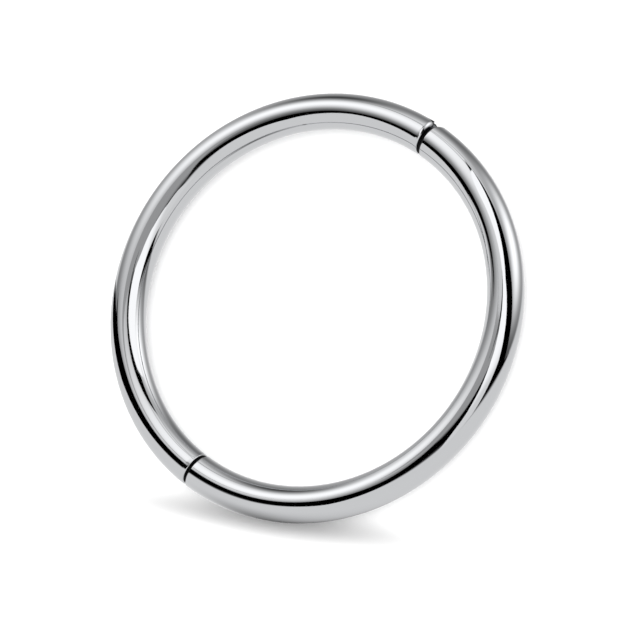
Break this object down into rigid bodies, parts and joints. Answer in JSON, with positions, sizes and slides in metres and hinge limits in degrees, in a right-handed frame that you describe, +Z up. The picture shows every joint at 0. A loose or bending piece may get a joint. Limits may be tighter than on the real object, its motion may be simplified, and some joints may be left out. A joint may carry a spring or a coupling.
{
  "type": "hinged hoop earring",
  "caption": "Round polished wire hoop in two halves, joined by a pin hinge and closed by a post that snaps into a socket.",
  "frame": {"origin": "on the surface that the hoop lies on, straight below the hoop's centre", "axes": "+Z up, square to the hoop's plane; +X from the hoop's centre to the hinge, with the clasp at -X; +Y from the centre to the middle of the fixed half"},
  "size_m": [0.0144, 0.0144, 0.0012],
  "materials": {
    "fixed_half_steel": "mirror-polished surgical steel",
    "hinged_half_steel": "mirror-polished surgical steel",
    "hinge_pin_steel": "ground and polished flush",
    "latch_post_steel": "turned and polished"
  },
  "bodies": {
    "fixed": {"fixed_half": "fixed_half_steel", "hinge_pin": "hinge_pin_steel"},
    "swing": {"hinged_half": "hinged_half_steel", "latch_post": "latch_post_steel"}
  },
  "joints": [
    {"name": "hinge", "type": "hinge", "parent": "fixed", "child": "swing", "pos_m": [0.00681, 0.0003, 0.0006], "axis": [0, 0, 1], "range_deg": [0, 30]}
  ]
}
